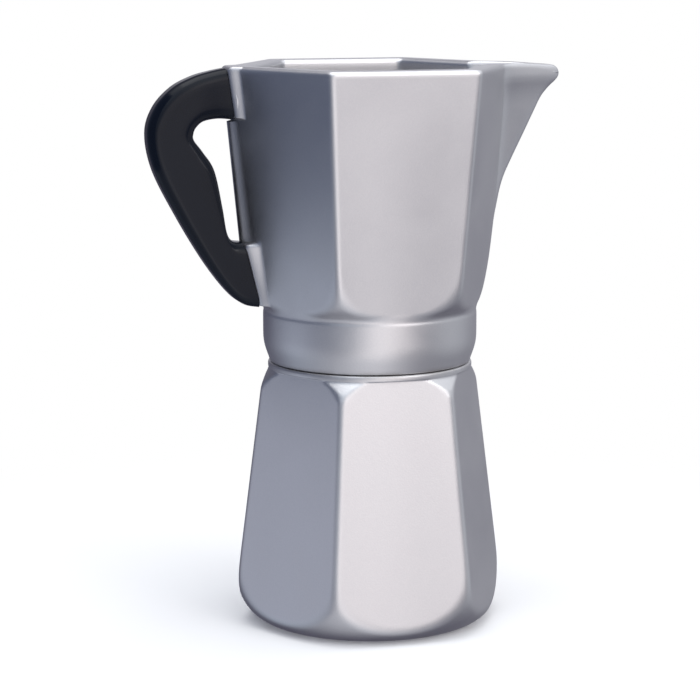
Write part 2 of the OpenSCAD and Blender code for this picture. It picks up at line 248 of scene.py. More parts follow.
side_limit = smooth([
    (44, 150), (49, 153), (52.9, 156.2), (56.5, 160), (59.3, 165), (61.4, 171), (63, 178), (65, 188), (78, 272)
])
end_limit = smooth([
    (44, 150), (49, 153), (52.5, 156.2), (55.3, 160), (57.8, 165.5), (59.9, 172.5), (61.6, 180), (63.1, 190),
    (66.8, 220), (73, 272)
])
collar_line = smooth([
    (48.9, 129), (49.2, 130), (49.9, 132), (50.8, 134.6), (51.5, 137.2), (51.9, 140), (52, 143), (52, 151.6),
    (51.85, 153.2), (51.3, 155.2), (50.2, 157.4), (48, 160)
])
beak_line = smooth([
    (58, 192), (61.4, 199), (63.4, 204.4), (65.4, 211), (68.2, 218), (73, 228), (78, 238), (82.9, 248),
    (86.6, 255.2), (90.6, 260), (94, 263), (95.6, 265.4), (95.6, 268), (94.6, 272)
])

# Faces that the handle sits on, as the (x, z) of their lower and upper ends
LOW_PAD = ((-56.4, 156.8), (-64.4, 188.4))
TOP_PAD = ((-68.2, 246.8), (-71.8, 271.2))


def beak(theta, z):
    """Outside of the spout, a wedge whose nose leans out as it rises."""
    tip = at_height(beak_line, z)
    nose_r = np.interp(z, [200, 240, 264, 272], [5.5, 5, 4.4, 4.2])
    root_x = tip - nose_r - np.interp(z, [192, 210, 240, 253, 264, 272], [6, 7, 13, 19, 28, 32])
    root_y = np.interp(z, [192, 210, 240, 253, 263, 272], [8, 8.5, 9.5, 11.5, 15, 17.5])
    return wedge(theta, tip - nose_r, nose_r, root_x, root_y)


def spine(theta, z):
    """Low ridge up the handle's corner, between the pads."""
    nose = np.interp(z, [184, 246], [64.4, 70.6])
    ridge = wedge(theta - PI, nose - 3, 3, nose - 9, 8)
    return ridge * ease((z - SPINE_LOW) / 10) * ease((SPINE_HIGH - z) / 1.6)


def pad_share(theta, z, half_width, low, high, face_x, side):
    """Share of a pad under a joint of the handle, which falls to nothing over its side's width."""
    y = np.abs(face_x * np.tan(theta - PI))
    near = np.cos(theta - PI) > 0.5
    share = ease((half_width - y) / side) * ease((z - low) / 0.7) * ease((high - z) / 0.7)
    return np.where(near, share, 0)


def jug_outer(theta, z):
    """Outer radius of the jug's casting without its rim's rounding."""
    ends = ease((np.abs(np.cos(theta)) - 0.6) / 0.35)
    swell = 0.45 * ease((RIM_Z - z) / 40)
    body = hexagon(theta, np.interp(z, *OUTER_CORNER), 3.4 + 2.6 * ends) + crown(theta, swell)
    beside, end = at_height(side_limit, z), at_height(end_limit, z)
    body = soft_min(body, beside + (end - beside) * ends, 2.2)
    body = np.where(z < BODY_Z, 0, body)
    r = soft_max(body, at_height(collar_line, z), 2.4)
    r = np.where(z > BEAK_Z, soft_max(r, beak(theta, z), 3.5), r)
    r = np.where((z > SPINE_LOW) & (z < SPINE_HIGH), soft_max(r, spine(theta, z), 1.2), r)
    # Pads that the handle sits on, with their half width, the width of their sides and their upper end
    for pad, half_width, side, high in ((TOP_PAD, 11.4, 4.5, 400), (LOW_PAD, 12.8, 5.6, 188)):
        (x0, z0), (x1, z1) = pad
        face_x = -np.interp(z, [z0, z1], [x0, x1])
        flat = face_x / np.maximum(np.cos(theta - PI), 0.3)
        # above the spine a pad also trims what stands proud of it
        applies = np.where(r < flat, 1, z > SPINE_HIGH)
        r = r + (flat - r) * applies * pad_share(theta, z, half_width, z0 + 0.4, high, face_x, side)
    return r


def jug_inner(theta, z):
    """Inner radius of the jug, with its inward lip and the channel of the spout."""
    r = hexagon(theta, np.interp(z, *INNER_CORNER), 4)
    bowl = np.interp(z, [153, 155, 159, 166, 174, 190, 262], [47.2, 48.4, 51, 53.2, 55.4, 58.6, 67.2])
    r = soft_min(r, bowl, 2)
    lip = hexagon(theta, 60.5, 3.5)
    share = ease((z - 258.5) / 6)
    r = r * (1 - share) + np.minimum(r, lip) * share
    heights = [217, 256, 273]
    tip = np.interp(z, heights, [59, 81, 90.6])
    root_y = np.interp(z, heights, [2, 8, 13])
    root_x = np.interp(z, heights, [54, 57, 54])
    channel = wedge(theta, tip - 2.9, 2.9, root_x, root_y)
    return np.where(z > CHANNEL_Z, soft_max(r, channel, 2), r)


def jug_angles():
    """Angles of the jug's columns, closer together at its corners, spout and pads."""
    out, t = [], 0.0
    while t < 360 - 1e-6:
        out.append(t)
        from_spout = min(t, 360 - t)
        from_handle = abs(t - 180)
        from_corner = abs((t + 30) % 60 - 30)
        if from_spout < 22:
            step = 0.45
        elif from_handle < 13:
            step = 0.4
        elif from_corner < 7:
            step = 0.8
        else:
            step = 1.9
        t += step
    return np.radians(np.array(out))


def build_jug():
    """Casting of the jug, as rings up its outside, over the rim and down its inside to the skirt."""
    theta = jug_angles()
    rings = []

    def add(r, z):
        rings.append(ring_at(theta, r, z))

    for r, z in [(46.2, 128.85), (46.8, SKIRT_Z), (48, SKIRT_Z), (48.5, 128.85), (48.8, 129.05)]:
        add(r, z)
    side_top = 267.2
    heights = np.concatenate([
        np.arange(129.4, 151, 1.2), np.arange(151, 164, 0.5), np.arange(164, 191, 1.3), np.arange(191, 246, 2.1),
        np.arange(246, 249, 0.5), np.arange(249, 264, 1.2), np.arange(264, 267.4, 0.6)
    ])
    for z in heights:
        add(jug_outer(theta, np.full(theta.shape, z)), z)
    # the rim is lower and rounder at the spout's tip
    spread = np.abs((theta + PI) % (2 * PI) - PI)
    tip = np.exp(-((spread / math.radians(5.5)) ** 2))
    top = RIM_Z - 1.4 * tip
    fillet = 2.4 + 2.0 * tip
    z_edge = top - fillet
    for share in (0.5, 1.0):
        z = side_top + (z_edge - side_top) * share
        add(jug_outer(theta, z), z)
    outer = jug_outer(theta, z_edge)
    for a in np.radians(np.linspace(0, 90, 8)[1:]):
        add(outer - fillet * (1 - math.cos(a)), z_edge + fillet * math.sin(a))
    inner_fillet = 2.5 - 0.9 * tip
    z_in = top - inner_fillet
    land_out = outer - fillet
    land_in = np.minimum(jug_inner(theta, z_in) + inner_fillet, land_out - 0.3)
    for share in (0.33, 0.66):
        add(land_out + (land_in - land_out) * share, top)
    for a in np.radians(np.linspace(0, 90, 7)):
        add(land_in - inner_fillet * math.sin(a), z_in + inner_fillet * math.cos(a))
    down = np.concatenate([np.arange(267.5, 256, -0.9), np.arange(256, 214, -2), np.arange(214, 158, -3.4)])
    for z in down:
        z = np.minimum(np.full(theta.shape, z), z_in - 0.4)
        add(np.minimum(jug_inner(theta, z), jug_outer(theta, z) - 2.2), z)
    for z in (158, 156.8, 155.8, 155.1):
        add(jug_inner(theta, np.full(theta.shape, z)), z)
    # floor with the riser's seat, then the dome, gasket seat and skirt under it
    for r, z in [
        (46.6, 154.7), (44, FLOOR_Z), (36, FLOOR_Z), (26, FLOOR_Z), (16, FLOOR_Z), (12.2, FLOOR_Z), (11.6, 154.7),
        (11, 155.3), (10.6, 155.5), (7.2, 155.5), (7, 155.3), (7, 151.2), (9, 150.8), (20, 149.6), (35, 147.9),
        (35.6, SEAT_Z), (45, SEAT_Z), (45.3, 147.4), (45.3, 140), (45.3, 134), (45.3, 129.8), (45.6, 129.3)
    ]:
        add(r, z)
    parts = [new_object("jug_shell", *loft(rings, loop=True))]
    # Bosses for the handle's screws
    for origin, direction in SCREWS:
        boss = turned("boss", [(9.6, 1.6), (8.4, 3.8), (7.4, 4.6), (6.9, 5.6), (6.8, 9.2), (6.5, 9.85), (5.9, 10),
                               (3, 10), (2.75, 9.6), (2.75, 1.6)], 64)
        parts.append(along(boss, origin, direction))
    return join("jug_casting", parts)


def screw_line(pad, share):
    """Where a handle screw crosses its pad, and its direction into the jug."""
    (x0, z0), (x1, z1) = pad
    tilt = math.atan2(x0 - x1, z1 - z0)
    return (x0 + (x1 - x0) * share, 0, z0 + (z1 - z0) * share), (math.cos(tilt), 0, math.sin(tilt))


SCREWS = [screw_line(TOP_PAD, 0.36), screw_line(LOW_PAD, 0.5)]

# ---------- boiler ----------

foot_line = smooth([
    (48.8, 0), (53.8, 1.2), (57.8, 3.6), (61, 6.9), (63.5, 11), (65.3, 15.6), (66.4, 20.6), (66.9, 26),
    (66.6, 34), (64.2, 60), (61.2, 83), (58.9, 100), (57.6, 109)
])
foot_curve = foot_line[:64]  # the part that rounds the foot
shoulder = [(57.2, 113), (55.8, 116.6), (53.2, 120.3), (51.1, 123.2), (50, 124.6), (49.5, 125.6), (49.5, 130)]
boiler_limit = np.concatenate([foot_line, shoulder])
boiler_hollow = np.array([
    (44, 4.5), (52, 6.6), (57.4, 11), (60.4, 17), (61.6, 25), (58.2, 60), (54.8, 83), (52.3, 100), (49.6, 114),
    (48, 120)
])


def boiler_outer(theta, z):
    """Outer radius of the boiler: its hexagon, trimmed by the rounds of its foot and shoulder."""
    body = hexagon(theta, np.interp(z, [0, SEAM_Z], [70.5, 53.9]), 4.5) + crown(theta, 0.4)
    softness = np.interp(z, [0, 20, 40, 108, 118, 124], [2.2, 2.2, 1.6, 2, 1.8, 0.5])
    return soft_min(body, at_height(boiler_limit, z), softness)


def build_boiler():
    """Casting of the boiler, as rings from under its foot up to the neck and down inside to its floor."""
    near, flank = np.arange(0, 9, 0.75), np.arange(9, 51, 1.5)
    theta = np.radians(np.concatenate([np.concatenate([near, flank, near + 51]) + c for c in range(0, 360, 60)]))
    rings = []

    def add(rows):
        rings.extend(ring_at(theta, r, z) for r, z in rows)

    add([(2, 0.35), (9, 0.35), (18, 0.35), (27, 0.35), (31.4, 0.35), (32, 0.2), (32.6, 0), (36, 0), (40, 0), (44, 0),
         (47, 0), (48.4, 0.02)])
    heights = np.concatenate([
        resample(foot_curve, 1.1)[1:, 1], np.arange(36, 108, 2.4), np.arange(108, 114, 1.2),
        np.arange(114, 125.6, 0.5)
    ])
    add((boiler_outer(theta, np.full(theta.shape, z)), z) for z in heights)
    # lip under the seam, neck and mouth
    ledge = SEAM_Z + 0.4
    add([(49.62, 125.8), (49.7, 126.2), (49.7, 127.5), (49.55, 128), (49.2, ledge), (47, ledge), (44.4, ledge),
         (43.9, 128.5), (43.6, 128.9), (43.6, 132), (43.6, 137), (43.6, 141.5), (43.4, 142.1), (42.9, 142.5),
         (42.4, NECK_TOP), (41.2, NECK_TOP), (40.6, 142.4), (40.2, 141.9), (40.2, 136), (40.2, 128), (40.2, 119.4),
         (40.6, 118.6), (42, 118), (45.6, 116.6)])
    for z in np.concatenate([np.arange(114, 24, -5), np.arange(24, 4.6, -1.6)]):
        r = hexagon(theta, np.interp(z, [4.5, 122.4], [64.7, 49.3]), 4)
        add([(soft_min(r, at_height(boiler_hollow, z), 1.5), z)])
    add([(46, 4.6), (43, 4.5), (30, 4.5), (15, 4.5), (2, 4.5)])
    shell = new_object("boiler_shell", *loft(rings))
    # Pad under the relief valve, with a fillet that sinks into the face
    pad = turned("pad", [(0.01, 44), (13.2, 49.2), (11.8, 50.2), (10.7, 51.2), (10.1, 52.3), (9.95, 53), (9.6, 53.4),
                         (8, 53.4), (0.01, 53.4)], 72, loop=False)
    along(pad, (0, 0, VALVE_Z), (0, 1, 0))
    return join("boiler_casting", [shell, pad])


# ---------- handle ----------

# Outer and inner outline from the top pad round to the lower one; their points pair up
handle_outer = [
    TOP_PAD[1], (-78.6, 269.9), (-87.4, 267.4), (-97.3, 262.3), (-105.8, 253.2), (-109.7, 241), (-106.6, 223.6),
    (-96, 202), (-83, 180), (-71.8, 165), (-64, 158.6), LOW_PAD[0]
]
handle_inner = [
    TOP_PAD[0], (-75.6, 247.4), (-82.6, 246.3), (-86.2, 243.4), (-87.5, 240.4), (-87.2, 237.4), (-83, 231.8),
    (-77.6, 223), (-74, 206), (-72.2, 194.2), (-69.3, 189.4), LOW_PAD[1]
]


def handle_section(depth, width):
    """Points round a rounded oblong with this half depth and half width, corners first, then each flat."""
    r = min(5.4, depth * 0.8, width * 0.85)
    corners = ((1, 1), (-1, 1), (-1, -1), (1, -1))
    flat_ends = ((-(depth - r), width), (-depth, -(width - r)), (depth - r, -width), (depth, width - r))
    section = []
    for quarter, ((sx, sy), flat_end) in enumerate(zip(corners, flat_ends)):
        for angle in np.radians(np.linspace(90 * quarter, 90 * quarter + 90, 11)):
            section.append((sx * (depth - r) + r * math.cos(angle), sy * (width - r) + r * math.sin(angle)))
        x, y = section[-1]
        for s in (0.2, 0.4, 0.6, 0.8):
            section.append((x + (flat_end[0] - x) * s, y + (flat_end[1] - y) * s))
    return section


def build_handle():
    """Moulding of the handle, lofted between its two outlines."""
    outer, inner = smooth(handle_outer, 12), smooth(handle_inner, 12)
    # half thickness across: narrower where the handle meets the jug's rim
    widths = 8.5 - 1.4 * (1 - ease(np.linspace(0, 1, len(outer)) / 0.22))
    rings = []
    for a, b, width in zip(outer, inner, widths):
        middle, half = (a + b) / 2, (a - b) / 2
        depth = np.linalg.norm(half)
        u = half / depth
        rings.append([((middle[0] + u[0] * x) * MM, y * MM, (middle[1] + u[1] * x) * MM)
                      for x, y in handle_section(depth, width)])
    return new_object("handle_moulding", *loft(rings))


# ---------- node helpers ----------


def put(tree, kind, inputs=None, **settings):
    """A node with its settings and its inputs, which are values or the sockets that feed them."""
    made = tree.nodes.new(kind)
    for key, value in settings.items():
        setattr(made, key, value)
    for key, value in (inputs or {}).items():
        if isinstance(value, bpy.types.NodeSocket):
            tree.links.new(value, made.inputs[key])
        else:
            made.inputs[key].default_value = value
    return made


def calc(tree, operation, *values):
    """Output of a Math node."""
    return put(tree, "ShaderNodeMath", dict(enumerate(values)), operation=operation).outputs[0]


def remap(tree, value, low, high, to_low=0.0, to_high=1.0, curve="LINEAR"):
    """Value carried from one range to another, and held at the ends."""
    ends = {"Value": value, "From Min": low, "From Max": high, "To Min": to_low, "To Max": to_high}
    return put(tree, "ShaderNodeMapRange", ends, interpolation_type=curve).outputs["Result"]


def xyz(tree, **parts):
    """Vector made of its X, Y and Z."""
    return put(tree, "ShaderNodeCombineXYZ", parts).outputs[0]


def moved(tree, shape, **turn):
    """Shape after a Transform node."""
    return put(tree, "GeometryNodeTransform", {"Geometry": shape.outputs[0], **turn})


def mix(tree, kind, factor, a, b):
    """Blend of two vectors or colours. A Mix node's sockets share names with those of its other types."""
    made = put(tree, "ShaderNodeMix", data_type=kind)
    for socket, value in zip([i for i in made.inputs if i.enabled], (factor, a, b)):
        if isinstance(value, bpy.types.NodeSocket):
            tree.links.new(value, socket)
        else:
            socket.default_value = value
    return [o for o in made.outputs if o.enabled][0]


SOCKETS = {float: "NodeSocketFloat", int: "NodeSocketInt", tuple: "NodeSocketVector"}


def new_group(kind, name, inputs, outputs):
    """Node group with named inputs and outputs, and the sockets of its inputs by name."""
    tree = bpy.data.node_groups.new(name, kind)
    for label, value in inputs.items():
        socket = SOCKETS.get(type(value)) or value
        made = tree.interface.new_socket(label, in_out="INPUT", socket_type=socket)
        if type(value) in SOCKETS:
            made.default_value = value
    for label, socket in outputs.items():
        tree.interface.new_socket(label, in_out="OUTPUT", socket_type=socket)
    return tree, {o.name: o for o in tree.nodes.new("NodeGroupInput").outputs if o.name}


# ---------- parts that repeat or follow a path ----------


def helix_tree():
    """Ridge or wire that winds round +Z, with tapered ends and end turns that can lie flat."""
    tree, size = new_group(
        "GeometryNodeTree", "Helix",
        {"Radius": 0.01, "Pitch": 0.004, "From turn": 0.0, "To turn": 1.0, "Height": 0.0, "Flat turns": 0.0,
         "Flat pitch": 0.0, "Root width": 0.0026, "Crest width": 0.0014, "Depth": 0.0017, "Sunk": 0.0004,
         "Rounding": 0.0003, "Outward": 1.0, "Taper": 0.1, "Steps per turn": 64.0, "Material": "NodeSocketMaterial"},
        {"Geometry": "NodeSocketGeometry"})
    turns = calc(tree, "SUBTRACT", size["To turn"], size["From turn"])
    count = calc(tree, "MULTIPLY", turns, size["Steps per turn"])
    line = put(tree, "GeometryNodeCurvePrimitiveLine")
    points = put(tree, "GeometryNodeResampleCurve", {"Curve": line.outputs[0], "Count": count})
    share = put(tree, "GeometryNodeSplineParameter").outputs["Factor"]
    turn = calc(tree, "MULTIPLY_ADD", share, turns, size["From turn"])
    low = calc(tree, "ADD", size["From turn"], size["Flat turns"])
    high = calc(tree, "SUBTRACT", size["To turn"], size["Flat turns"])
    steep = calc(tree, "MINIMUM", calc(tree, "MAXIMUM", turn, low), high)
    climb = calc(tree, "MULTIPLY", steep, size["Pitch"])
    climb = calc(tree, "MULTIPLY_ADD", calc(tree, "SUBTRACT", turn, steep), size["Flat pitch"], climb)
    angle = calc(tree, "MULTIPLY", turn, 2 * PI)
    place = xyz(tree, X=calc(tree, "MULTIPLY", calc(tree, "COSINE", angle), size["Radius"]),
                Y=calc(tree, "MULTIPLY", calc(tree, "SINE", angle), size["Radius"]),
                Z=calc(tree, "ADD", climb, size["Height"]))
    wound = put(tree, "GeometryNodeSetPosition", {"Geometry": points.outputs[0], "Position": place})
    upright = put(tree, "GeometryNodeSetCurveNormal", {"Curve": wound.outputs[0]}, mode="Z_UP")
    end = calc(tree, "MINIMUM", share, calc(tree, "SUBTRACT", 1.0, share))
    taper = calc(tree, "MAXIMUM", size["Taper"], 1e-6)
    full = calc(tree, "DIVIDE", calc(tree, "MULTIPLY", end, turns), taper)
    full = calc(tree, "MINIMUM", 1.0, calc(tree, "ADD", 0.06, full))
    outline = put(tree, "GeometryNodeCurvePrimitiveQuadrilateral",
                  {"Bottom Width": size["Root width"], "Top Width": size["Crest width"], "Height": size["Depth"],
                   "Offset": 0.0}, mode="TRAPEZOID")
    shift = calc(tree, "SUBTRACT", calc(tree, "MULTIPLY", size["Depth"], 0.5), size["Sunk"])
    raised = moved(tree, outline, Translation=xyz(tree, Y=shift))
    facing = xyz(tree, Z=calc(tree, "MULTIPLY", size["Outward"], -PI / 2))
    turned_out = moved(tree, raised, Rotation=facing)
    rounding = {"Curve": turned_out.outputs[0], "Radius": size["Rounding"], "Count": 3, "Limit Radius": True}
    soft = put(tree, "GeometryNodeFilletCurve", rounding, mode="POLY")
    mesh = put(tree, "GeometryNodeCurveToMesh", {"Curve": upright.outputs[0], "Profile Curve": soft.outputs[0],
                                                 "Scale": full, "Fill Caps": True})
    real = put(tree, "GeometryNodeRealizeInstances", {"Geometry": mesh.outputs[0]})
    done = put(tree, "GeometryNodeSetMaterial", {"Geometry": real.outputs[0], "Material": size["Material"]})
    put(tree, "NodeGroupOutput", {"Geometry": done.outputs[0]})
    return tree


def perforated_tree():
    """Disc with rings of round holes, six more in each ring, every hole with a broken edge."""
    tree, size = new_group(
        "GeometryNodeTree", "Perforated disc",
        {"Radius": 0.04, "Height": 0.0, "Thickness": 0.001, "Rings": 5, "Spacing": 0.006, "Hole radius": 0.0009,
         "Broken edge": 0.00025, "Material": "NodeSocketMaterial"},
        {"Geometry": "NodeSocketGeometry"})
    middle = xyz(tree, Z=calc(tree, "MULTIPLY_ADD", size["Thickness"], 0.5, size["Height"]))
    disc = put(tree, "GeometryNodeMeshCylinder",
               {"Vertices": 144, "Radius": size["Radius"], "Depth": size["Thickness"]})
    holes = calc(tree, "MULTIPLY", 3.0, calc(tree, "MULTIPLY", size["Rings"], calc(tree, "ADD", size["Rings"], 1.0)))
    # which ring a hole is in, and how many holes come before that ring
    index = put(tree, "GeometryNodeInputIndex").outputs[0]
    ring = calc(tree, "SQRT", calc(tree, "MULTIPLY_ADD", calc(tree, "ADD", index, 0.5), 4 / 3, 1.0))
    ring = calc(tree, "FLOOR", calc(tree, "MULTIPLY", calc(tree, "ADD", ring, 1.0), 0.5))
    before = calc(tree, "MULTIPLY", 3.0, calc(tree, "MULTIPLY", ring, calc(tree, "SUBTRACT", ring, 1.0)))
    angle = calc(tree, "MULTIPLY", PI / 3, calc(tree, "DIVIDE", calc(tree, "SUBTRACT", index, before), ring))
    reach = calc(tree, "MULTIPLY", ring, size["Spacing"])
    place = xyz(tree, X=calc(tree, "MULTIPLY", calc(tree, "COSINE", angle), reach),
                Y=calc(tree, "MULTIPLY", calc(tree, "SINE", angle), reach))
    spots = put(tree, "GeometryNodePoints", {"Count": holes, "Position": place})
    # a straight drill, and a wide cone at its upper end that breaks the hole's edge
    drill = put(tree, "GeometryNodeMeshCylinder", {"Vertices": 20, "Radius": size["Hole radius"],
                                                   "Depth": calc(tree, "MULTIPLY", size["Thickness"], 3.0)})
    cone = put(tree, "GeometryNodeMeshCone", {
        "Vertices": 20, "Depth": calc(tree, "MULTIPLY", size["Broken edge"], 2.0),
        "Radius Bottom": calc(tree, "SUBTRACT", size["Hole radius"], 2e-5),
        "Radius Top": calc(tree, "MULTIPLY_ADD", size["Broken edge"], 2.0, size["Hole radius"])})
    top = calc(tree, "SUBTRACT", calc(tree, "ADD", size["Height"], size["Thickness"]), size["Broken edge"])
    solid = moved(tree, disc, Translation=middle).outputs[0]
    for cutter, place in ((drill, middle), (cone, xyz(tree, Z=top))):
        cutter = moved(tree, cutter, Translation=place)
        copies = put(tree, "GeometryNodeInstanceOnPoints",
                     {"Points": spots.outputs[0], "Instance": cutter.outputs[0]})
        real = put(tree, "GeometryNodeRealizeInstances", {"Geometry": copies.outputs[0]})
        cut = put(tree, "GeometryNodeMeshBoolean", {"Mesh 1": solid, "Mesh 2": real.outputs[0]},
                  operation="DIFFERENCE", solver="EXACT")
        solid = cut.outputs[0]
    real = put(tree, "GeometryNodeRealizeInstances", {"Geometry": solid})
    done = put(tree, "GeometryNodeSetMaterial", {"Geometry": real.outputs[0], "Material": size["Material"]})
    put(tree, "NodeGroupOutput", {"Geometry": done.outputs[0]})
    return tree


def grow(name, tree, smooth_shade=True, **sizes):
    """Plain mesh that a geometry tree makes at these sizes."""
    holder = new_object("holder", [(0, 0, 0)], [])
    modifier = holder.modifiers.new("grow", "NODES")
    modifier.node_group = tree
    for item in tree.interface.items_tree:
        key = item.name.replace(" ", "_").lower()
        if item.item_type == "SOCKET" and item.in_out == "INPUT" and key in sizes:
            modifier[item.identifier] = sizes[key]
    graph = bpy.context.evaluated_depsgraph_get()
    mesh = bpy.data.meshes.new_from_object(holder.evaluated_get(graph), depsgraph=graph)
    bpy.data.objects.remove(holder)
    faces = [tuple(p.vertices) for p in mesh.polygons]
    made = new_object(name, [tuple(v.co) for v in mesh.vertices], faces, smooth_shade)
    for m in mesh.materials:
        made.data.materials.append(m)
    return made


# ---------- materials ----------

FLOAT = "NodeSocketFloat"
ORIGIN = (0.0, 0.0, 0.0)


def mottle_group():
    """Broad cloudy variation and fine grain, each from 0 to 1."""
    tree, given = new_group("ShaderNodeTree", "Mottle", {"Vector": ORIGIN, "Broad": 30.0, "Fine": 900.0},
                            {"Cloud": FLOAT, "Grain": FLOAT})
    cloud = put(tree, "ShaderNodeTexNoise", {"Vector": given["Vector"], "Scale": given["Broad"], "Detail": 4.0,
                                             "Roughness": 0.6, "Distortion": 0.4})
    grain = put(tree, "ShaderNodeTexNoise", {"Vector": given["Vector"], "Scale": given["Fine"], "Detail": 2.0,
                                             "Roughness": 0.7})
    put(tree, "NodeGroupOutput", {"Cloud": remap(tree, cloud.outputs["Fac"], 0.3, 0.7),
                                  "Grain": remap(tree, grain.outputs["Fac"], 0.25, 0.75)})
    return tree


def marks_group():
    """Lines left by a lathe tool or a brush: noise squeezed along the radius and the axis, or along X."""
    tree, given = new_group("ShaderNodeTree", "Tool marks", {"Vector": ORIGIN, "Pitch": 900.0, "Brushed": 0.0},
                            {"Lines": FLOAT})
    parts = put(tree, "ShaderNodeSeparateXYZ", {0: given["Vector"]})
    flat = xyz(tree, X=parts.outputs["X"], Y=parts.outputs["Y"])
    reach = put(tree, "ShaderNodeVectorMath", {0: flat}, operation="LENGTH").outputs["Value"]
    turned_space = xyz(tree, X=reach, Y=parts.outputs["Z"])
    along_x = {0: given["Vector"], 1: (0.04, 1.0, 1.0)}
    brushed_space = put(tree, "ShaderNodeVectorMath", along_x, operation="MULTIPLY").outputs[0]
    space = mix(tree, "VECTOR", given["Brushed"], turned_space, brushed_space)
    lines = put(tree, "ShaderNodeTexNoise",
                {"Vector": space, "Scale": given["Pitch"], "Detail": 3.0, "Roughness": 0.75})
    put(tree, "NodeGroupOutput", {"Lines": remap(tree, lines.outputs["Fac"], 0.3, 0.7)})
    return tree


def scratch_group():
    """Sparse short scratches in two directions, from 0 to 1."""
    tree, given = new_group("ShaderNodeTree", "Scratches", {"Vector": ORIGIN, "Scale": 60.0, "Share": 0.1},
                            {"Mask": FLOAT})
    total = None
    for angles, stretch in (((0.5, 0.3, 0.7), (0.05, 1.0, 1.0)), ((0.2, 1.1, 2.2), (1.0, 0.06, 1.0))):
        spun = put(tree, "ShaderNodeMapping", {"Vector": given["Vector"], "Rotation": angles, "Scale": stretch})
        close = calc(tree, "MULTIPLY", given["Scale"], 12.0)
        noise = put(tree, "ShaderNodeTexNoise", {"Vector": spun.outputs[0], "Scale": close, "Detail": 1.0})
        off = calc(tree, "ABSOLUTE", calc(tree, "SUBTRACT", noise.outputs["Fac"], 0.5))
        line = remap(tree, off, 0.0, 0.012, 1.0, 0.0)
        where = put(tree, "ShaderNodeTexNoise", {"Vector": spun.outputs[0], "Scale": given["Scale"], "Detail": 2.0})
        some = remap(tree, where.outputs["Fac"], calc(tree, "SUBTRACT", 0.72, given["Share"]), 0.75)
        line = calc(tree, "MULTIPLY", line, some)
        total = line if total is None else calc(tree, "MAXIMUM", total, line)
    put(tree, "NodeGroupOutput", {"Mask": total})
    return tree


def stain_group():
    """Dulling that gathers between two heights, broken up by noise, from 0 to 1."""
    tree, given = new_group("ShaderNodeTree", "Stain", {"Vector": ORIGIN, "Middle": 0.128, "Spread": 0.01},
                            {"Mask": FLOAT})
    z = put(tree, "ShaderNodeSeparateXYZ", {0: given["Vector"]}).outputs["Z"]
    off = calc(tree, "DIVIDE", calc(tree, "ABSOLUTE", calc(tree, "SUBTRACT", z, given["Middle"])), given["Spread"])
    near = remap(tree, off, 0.2, 1.0, 1.0, 0.0)
    noise = put(tree, "ShaderNodeTexNoise", {"Vector": given["Vector"], "Scale": 90.0, "Detail": 5.0})
    patchy = remap(tree, noise.outputs["Fac"], 0.3, 0.65)
    put(tree, "NodeGroupOutput", {"Mask": calc(tree, "MULTIPLY", near, patchy)})
    return tree


MOTTLE, MARKS, SCRATCHES, STAIN = mottle_group(), marks_group(), scratch_group(), stain_group()


def use(tree, group, vector, **values):
    """Outputs of a shader group placed with its own values and fed by a vector."""
    made = put(tree, "ShaderNodeGroup", node_tree=group)
    for label, value in values.items():
        made.inputs[label.capitalize()].default_value = value
    tree.links.new(vector, made.inputs["Vector"])
    return made.outputs


def finish(name, color, second, metallic, roughness, broad=30.0, fine=900.0, cloud=0.5, bump=0.1, lines=0.0,
           pitch=900.0, brushed=0.0, scratch=0.0, stains=(), spread=0.08, **extra):
    """Material of one finish: two colours mixed by cloud and grain, with tool marks, scratches and stains."""
    made = bpy.data.materials.new(name)
    made.use_nodes = True
    t = made.node_tree
    t.nodes.clear()
    where = put(t, "ShaderNodeTexCoord").outputs["Object"]
    mottle = use(t, MOTTLE, where, broad=broad, fine=fine)
    share = calc(t, "MULTIPLY", mottle["Grain"], 1 - cloud)
    share = calc(t, "MULTIPLY_ADD", mottle["Cloud"], cloud, share)
    base = mix(t, "RGBA", share, (*color, 1), (*second, 1))
    rough = calc(t, "MULTIPLY_ADD", calc(t, "SUBTRACT", mottle["Cloud"], 0.5), spread, roughness)
    height = mottle["Grain"]
    if lines:
        marks = use(t, MARKS, where, pitch=pitch, brushed=brushed)
        height = calc(t, "MULTIPLY_ADD", marks["Lines"], lines, height)
        rough = calc(t, "MULTIPLY_ADD", marks["Lines"], 0.06, rough)
    if scratch:
        scratches = use(t, SCRATCHES, where, share=scratch)
        rough = calc(t, "MULTIPLY_ADD", scratches["Mask"], 0.12, rough)
        height = calc(t, "MULTIPLY_ADD", scratches["Mask"], -0.6, height)
    for middle, width, depth in stains:
        dull = use(t, STAIN, where, middle=middle, spread=width)
        amount = calc(t, "MULTIPLY", dull["Mask"], depth)
        rough = calc(t, "MULTIPLY_ADD", amount, 0.2, rough)
        base = mix(t, "RGBA", amount, base, (0.2, 0.17, 0.14, 1))
    relief = put(t, "ShaderNodeBump", {"Height": height, "Strength": bump, "Distance": 0.0002})
    shader = put(t, "ShaderNodeBsdfPrincipled", {"Base Color": base, "Metallic": metallic, "Roughness": rough,
                                                 "Normal": relief.outputs["Normal"], **extra})
    put(t, "ShaderNodeOutputMaterial", {"Surface": shader.outputs["BSDF"]})
    return made


